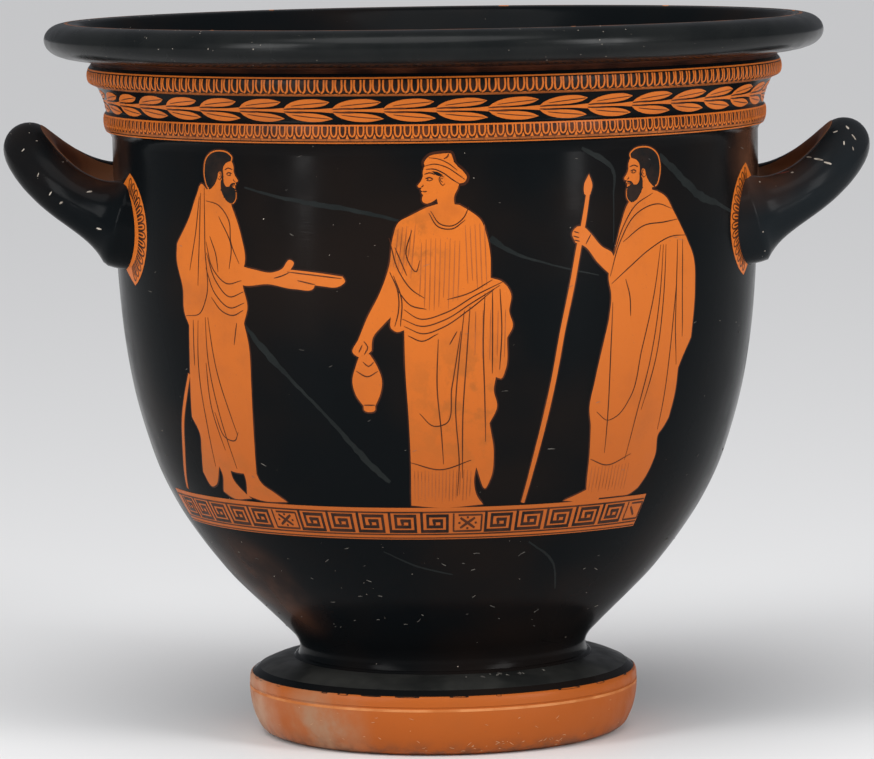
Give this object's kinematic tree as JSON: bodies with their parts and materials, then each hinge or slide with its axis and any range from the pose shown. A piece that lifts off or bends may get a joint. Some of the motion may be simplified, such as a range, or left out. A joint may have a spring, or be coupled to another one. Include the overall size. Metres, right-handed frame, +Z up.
{
  "type": "bell krater",
  "caption": "Bell-shaped pottery mixing bowl with an overhanging lip, two loop handles and a disc foot, black gloss with a reserved figure scene.",
  "frame": {"origin": "centre of the standing ring, on the surface it stands on", "axes": "+Z up along the vessel's axis, handles along X, painted main side towards -Y"},
  "size_m": [0.4841, 0.434, 0.4],
  "materials": {
    "black_gloss": "thin black gloss slip with a soft sheen, worn in places",
    "fired_clay": "burnished orange fired clay, satin"
  },
  "bodies": {
    "root": {"krater": "black_gloss"}
  },
  "joints": []
}
